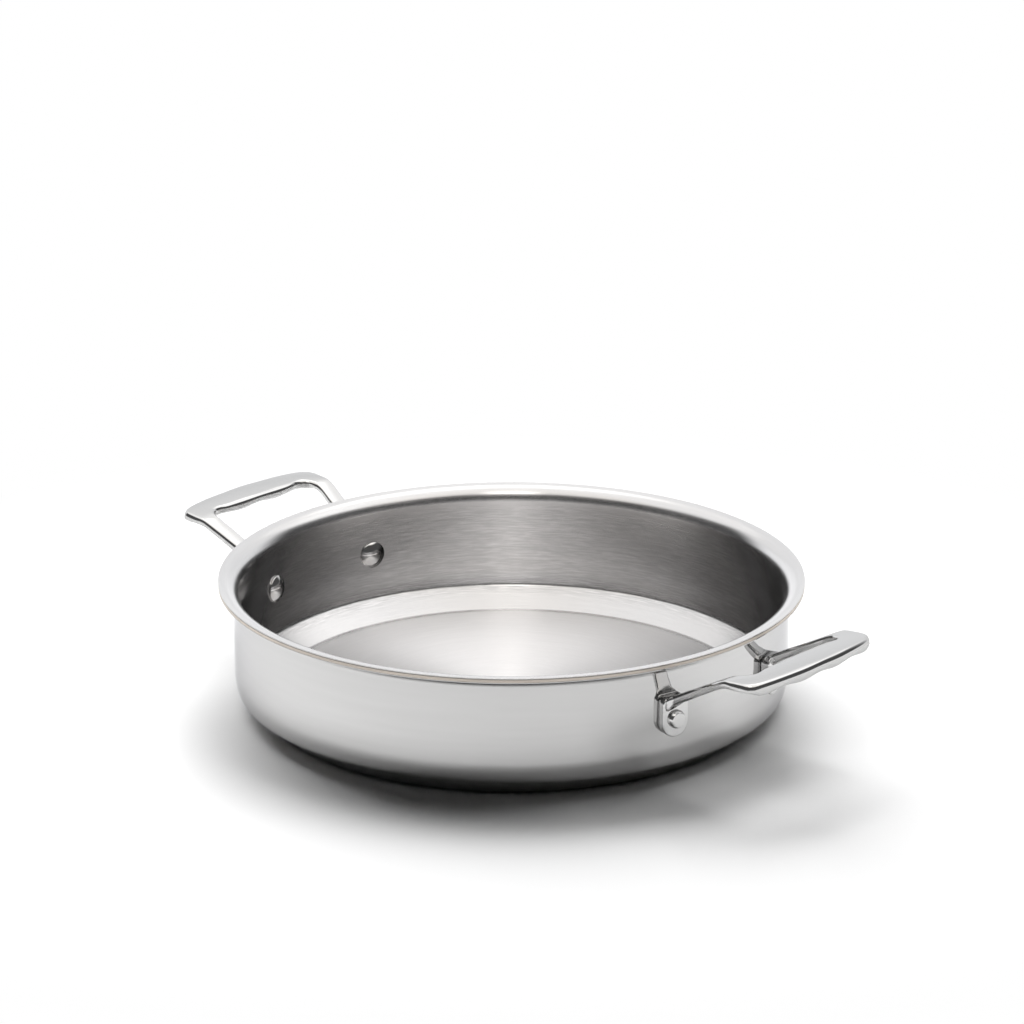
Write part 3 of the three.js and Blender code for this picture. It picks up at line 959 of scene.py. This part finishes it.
class PAN_OT_make_body(bpy.types.Operator):
    """Makes the three bonded plies of the clad body"""

    bl_idname = "pan.make_body"
    bl_label = "Clad body"

    def execute(self, context):
        sizes = context.scene.pan_body
        finishes = context.scene.pan_finishes
        skin = sizes.skin
        core_low = skin + BOND_GAP
        core_high = sizes.sheet - skin - BOND_GAP
        edge = PLY_EDGE_ROUND
        outside = ply_profile(sizes, 0.0, skin, EXTERIOR_EDGE_ROUND, edge, 0.0)
        core = ply_profile(sizes, core_low, core_high, edge, edge, CORE_RECESS)
        inside = ply_profile(sizes, sizes.sheet - skin, sizes.sheet, edge, sizes.edge_round, 0.0)
        make_piece("pan_exterior", turn_profile(outside, TURN_STEPS), exterior_material(finishes),
                   "exterior_ply")
        make_piece("pan_core", turn_profile(core, TURN_STEPS), core_material(finishes),
                   "core_ply")
        make_piece("pan_interior", turn_profile(inside, TURN_STEPS), interior_material(finishes),
                   "interior_ply")
        return {"FINISHED"}


class PAN_OT_make_handles(bpy.types.Operator):
    """Makes the two cast loop handles with their mounting pads"""

    bl_idname = "pan.make_handles"
    bl_label = "Loop handles"

    def execute(self, context):
        sizes = context.scene.pan_handle
        back = context.scene.pan_body.wall_radius + sizes.fit_gap
        front = back + sizes.pad_thickness
        rivet_height = context.scene.pan_rivet.height
        skins = [loop_skin(sizes, front)]
        for side in (-1.0, 1.0):
            skins.append(pad_skin(sizes, side * sizes.mount_angle, back, front, rivet_height))
        handle = join_skins(skins)
        material = handle_material(context.scene.pan_finishes)
        for side, angle in (("right", 0.0), ("left", math.pi)):
            piece = make_piece(f"handle_loop_{side}", turn_about_z(handle, angle), material,
                               f"handle_{side}")
            keep_slope(piece)
        return {"FINISHED"}


class PAN_OT_make_rivets(bpy.types.Operator):
    """Makes the four solid rivets"""

    bl_idname = "pan.make_rivets"
    bl_label = "Rivets"

    def execute(self, context):
        sizes = context.scene.pan_rivet
        mount_angle = context.scene.pan_handle.mount_angle
        material = rivet_material(context.scene.pan_finishes)
        for place, (side, end) in RIVET_PLACES.items():
            skin = rivet_skin(sizes, side + end * mount_angle)
            make_piece(f"rivet_stud_{place}", skin, material, f"rivet_{place}")
        return {"FINISHED"}


def stage_axes():
    """Unit vectors to the right and away in plan, along the camera's line of sight, and up across it."""
    turn, rise = CAMERA_TURN, CAMERA_RISE
    right = Vector((math.cos(turn), math.sin(turn), 0.0))
    away = Vector((-math.sin(turn), math.cos(turn), 0.0))
    sight = away * math.cos(rise) - Vector((0.0, 0.0, math.sin(rise)))
    upward = away * math.sin(rise) + Vector((0.0, 0.0, math.cos(rise)))
    return right, away, sight, upward


def stage_point(right, away, place):
    """A point so far right of, away from and over the pan."""
    return right * place[0] + away * place[1] + Vector((0.0, 0.0, place[2]))


def make_floor(colour):
    """A wide white floor: plain paper near the pan, so that its shadow stays, and even white farther off."""
    reach = FLOOR_REACH
    corners = [(-reach, -reach, 0.0), (reach, -reach, 0.0), (reach, reach, 0.0), (-reach, reach, 0.0)]
    mesh = bpy.data.meshes.new("studio_floor")
    mesh.from_pydata(corners, [], [(0, 1, 2, 3)])
    floor = bpy.data.objects.new("studio_floor", mesh)
    bpy.context.scene.collection.objects.link(floor)
    material = bpy.data.materials.new("Studio floor")
    material.use_nodes = True
    tree = material.node_tree
    tree.nodes.clear()
    output = tree.nodes.new("ShaderNodeOutputMaterial")
    paper = tree.nodes.new("ShaderNodeBsdfDiffuse")
    paper.inputs["Color"].default_value = (*colour, 1.0)
    white = tree.nodes.new("ShaderNodeEmission")
    white.inputs["Color"].default_value = (1.0, 1.0, 1.0, 1.0)
    white.inputs["Strength"].default_value = 1.0
    mix = tree.nodes.new("ShaderNodeMixShader")
    place = tree.nodes.new("ShaderNodeTexCoord").outputs["Object"]
    length = tree.nodes.new("ShaderNodeVectorMath")
    length.operation = "LENGTH"
    tree.links.new(place, length.inputs[0])
    far = blend(tree, length.outputs["Value"], PAPER_EDGE, 0.0, 1.0)
    ray = tree.nodes.new("ShaderNodeLightPath")
    seen = math_node(tree, "MAXIMUM", ray.outputs["Is Camera Ray"], ray.outputs["Is Glossy Ray"])
    seen = math_node(tree, "MAXIMUM", seen, ray.outputs["Is Transmission Ray"])
    tree.links.new(product(tree, far, seen), mix.inputs[0])
    tree.links.new(paper.outputs[0], mix.inputs[1])
    tree.links.new(white.outputs[0], mix.inputs[2])
    tree.links.new(mix.outputs[0], output.inputs["Surface"])
    mesh.materials.append(material)


def make_softbox(name, position, size, watts):
    """A soft area lamp turned to the pan, which lights the floor and is seen by neither camera nor metal."""
    light = bpy.data.lights.new(name, "AREA")
    light.shape = "RECTANGLE"
    light.size, light.size_y = size
    light.energy = watts
    lamp = bpy.data.objects.new(name, light)
    lamp.location = position
    lamp.rotation_euler = (-position).to_track_quat("-Z", "Y").to_euler()
    lamp.visible_camera = False
    lamp.visible_glossy = False
    bpy.context.scene.collection.objects.link(lamp)


def dot_node(tree, vector, axis):
    """The part of a vector along a fixed axis."""
    node = tree.nodes.new("ShaderNodeVectorMath")
    node.operation = "DOT_PRODUCT"
    tree.links.new(vector, node.inputs[0])
    node.inputs[1].default_value = axis
    return node.outputs["Value"]


def room_light(tree, right, away, glow):
    """Level of the room's light by direction, and how warm it is there.

    The ceiling is brighter on the right and in a strip in front. The wall behind the pan is brighter low
    down, except on its right. A round glow stands for the lamp, and the rest is dim.
    """
    direction = tree.nodes.new("ShaderNodeTexCoord").outputs["Generated"]
    split = tree.nodes.new("ShaderNodeSeparateXYZ")
    tree.links.new(direction, split.inputs[0])
    height = split.outputs[2]
    level_part = math_node(tree, "SQRT", math_node(tree, "SUBTRACT", 1.0, product(tree, height, height)))
    level_part = math_node(tree, "MAXIMUM", level_part, 0.02)
    facing = math_node(tree, "DIVIDE", dot_node(tree, direction, away), level_part)
    sideways = math_node(tree, "DIVIDE", dot_node(tree, direction, right), level_part)
    right_side = blend(tree, sideways, RIGHT_EDGE, 0.0, RIGHT_EXTRA)
    right_side = product(tree, right_side, blend(tree, height, RIGHT_FADE, 1.0, 0.2))
    front = blend(tree, facing, FRONT_EDGE, FRONT_EXTRA, 0.0)
    front = product(tree, front, blend(tree, height, FRONT_FADE, 1.0, 0.0))
    ceiling = total(tree, right_side, front, CEILING_LEVEL)
    leaning = total(tree, height, product(tree, facing, CEILING_LEAN))
    ceiling = product(tree, ceiling, blend(tree, leaning, CEILING_EDGE, 0.0, 1.0))
    low_back = blend(tree, height, LOW_BACK_FADE, LOW_BACK_EXTRA, 0.0)
    low_back = product(tree, low_back, blend(tree, sideways, LOW_BACK_EDGE, 1.0, 0.2))
    back = total(tree, blend(tree, height, BACK_RISE, *BACK_LEVELS), low_back)
    back = product(tree, back, blend(tree, facing, BACK_EDGE, 0.0, 1.0))
    lamp = blend(tree, dot_node(tree, direction, glow), GLOW_EDGE, 0.0, 1.0)
    level = total(tree, math_node(tree, "MAXIMUM", ceiling, back), lamp, DIM_LEVEL)
    warm = blend(tree, height, WARM_RISE, 0.0, 1.0)
    warm = product(tree, warm, blend(tree, facing, WARM_EDGE, 1.0, 0.4))
    return level, warm


def make_world(right, away, glow):
    """The room that the metal reflects. The camera sees plain white, and the lamps light the floor."""
    world = bpy.data.worlds.new("Studio")
    bpy.context.scene.world = world
    world.cycles_visibility.diffuse = False
    world.use_nodes = True
    tree = world.node_tree
    tree.nodes.clear()
    output = tree.nodes.new("ShaderNodeOutputWorld")
    room = tree.nodes.new("ShaderNodeBackground")
    white = tree.nodes.new("ShaderNodeBackground")
    white.inputs["Strength"].default_value = 1.0
    white.inputs["Color"].default_value = (1.0, 1.0, 1.0, 1.0)
    ray = tree.nodes.new("ShaderNodeLightPath")
    mix = tree.nodes.new("ShaderNodeMixShader")
    level, warm = room_light(tree, right, away, glow)
    direct = scaled(tree, ray.outputs["Diffuse Depth"], 1.0, OFF_METAL)
    tree.links.new(product(tree, level, direct), room.inputs["Strength"])
    hue = tree.nodes.new("ShaderNodeMix")
    hue.data_type = "RGBA"
    tree.links.new(warm, hue.inputs["Factor"])
    hue.inputs[6].default_value = (*COOL_LIGHT, 1.0)
    hue.inputs[7].default_value = (*WARM_LIGHT, 1.0)
    tree.links.new(hue.outputs[2], room.inputs["Color"])
    tree.links.new(ray.outputs["Is Camera Ray"], mix.inputs[0])
    tree.links.new(room.outputs[0], mix.inputs[1])
    tree.links.new(white.outputs[0], mix.inputs[2])
    tree.links.new(mix.outputs[0], output.inputs["Surface"])


def make_camera(sizes, right, sight, upward):
    """The camera, on the line of sight through a point beside and over the middle of the rim."""
    camera = bpy.data.cameras.new("Camera")
    camera.lens = CAMERA_LENS
    camera.sensor_width = CAMERA_SENSOR
    holder = bpy.data.objects.new("Camera", camera)
    aim = Vector((0.0, 0.0, sizes.height)) + right * CAMERA_AIM[0] + upward * CAMERA_AIM[1]
    holder.location = aim - sight * CAMERA_DISTANCE
    holder.rotation_euler = sight.to_track_quat("-Z", "Y").to_euler()
    bpy.context.scene.collection.objects.link(holder)
    bpy.context.scene.camera = holder


class PAN_OT_make_stage(bpy.types.Operator):
    """Makes the floor, the lamps, the surroundings and the camera"""

    bl_idname = "pan.make_stage"
    bl_label = "Stage"

    def execute(self, context):
        right, away, sight, upward = stage_axes()
        make_floor(context.scene.pan_finishes.floor)
        make_softbox("key_softbox", stage_point(right, away, KEY_PLACE), KEY_SIZE, KEY_WATTS)
        make_softbox("side_softbox", stage_point(right, away, SIDE_PLACE), SIDE_SIZE, SIDE_WATTS)
        make_world(right, away, stage_point(right, away, GLOW_PLACE).normalized())
        make_camera(context.scene.pan_body, right, sight, upward)
        context.scene.view_settings.view_transform = "Standard"
        return {"FINISHED"}


class PAN_PT_workshop(bpy.types.Panel):
    """Lists the sizes, the finishes and the pieces of the pan"""

    bl_idname = "PAN_PT_workshop"
    bl_label = "Roasting Pan"
    bl_space_type = "VIEW_3D"
    bl_region_type = "UI"
    bl_category = "Pan"

    def draw(self, context):
        layout = self.layout
        for label, attribute, kind in SETTINGS:
            box = layout.box()
            box.label(text=label)
            for name in kind.__annotations__:
                box.prop(getattr(context.scene, attribute), name)
        for operator in OPERATORS:
            layout.operator(operator.bl_idname, text=operator.bl_label)


SETTINGS = (
    ("Body", "pan_body", PanBodySizes),
    ("Handles", "pan_handle", PanHandleSizes),
    ("Rivets", "pan_rivet", PanRivetSizes),
    ("Finishes", "pan_finishes", PanFinishes),
)
OPERATORS = (PAN_OT_make_body, PAN_OT_make_handles, PAN_OT_make_rivets, PAN_OT_make_stage)


def register():
    """Registers the settings, the operators and the panel."""
    for label, attribute, kind in SETTINGS:
        bpy.utils.register_class(kind)
        setattr(bpy.types.Scene, attribute, PointerProperty(type=kind, name=label))
    for operator in OPERATORS:
        bpy.utils.register_class(operator)
    bpy.utils.register_class(PAN_PT_workshop)


def unregister():
    """Takes them off again, in the opposite order."""
    bpy.utils.unregister_class(PAN_PT_workshop)
    for operator in reversed(OPERATORS):
        bpy.utils.unregister_class(operator)
    for _, attribute, kind in reversed(SETTINGS):
        delattr(bpy.types.Scene, attribute)
        bpy.utils.unregister_class(kind)


def main():
    """Registers the add-on and makes the body, the handles, the rivets and the stage."""
    register()
    bpy.ops.pan.make_body()
    bpy.ops.pan.make_handles()
    bpy.ops.pan.make_rivets()
    bpy.ops.pan.make_stage()


if __name__ == "__main__":
    main()
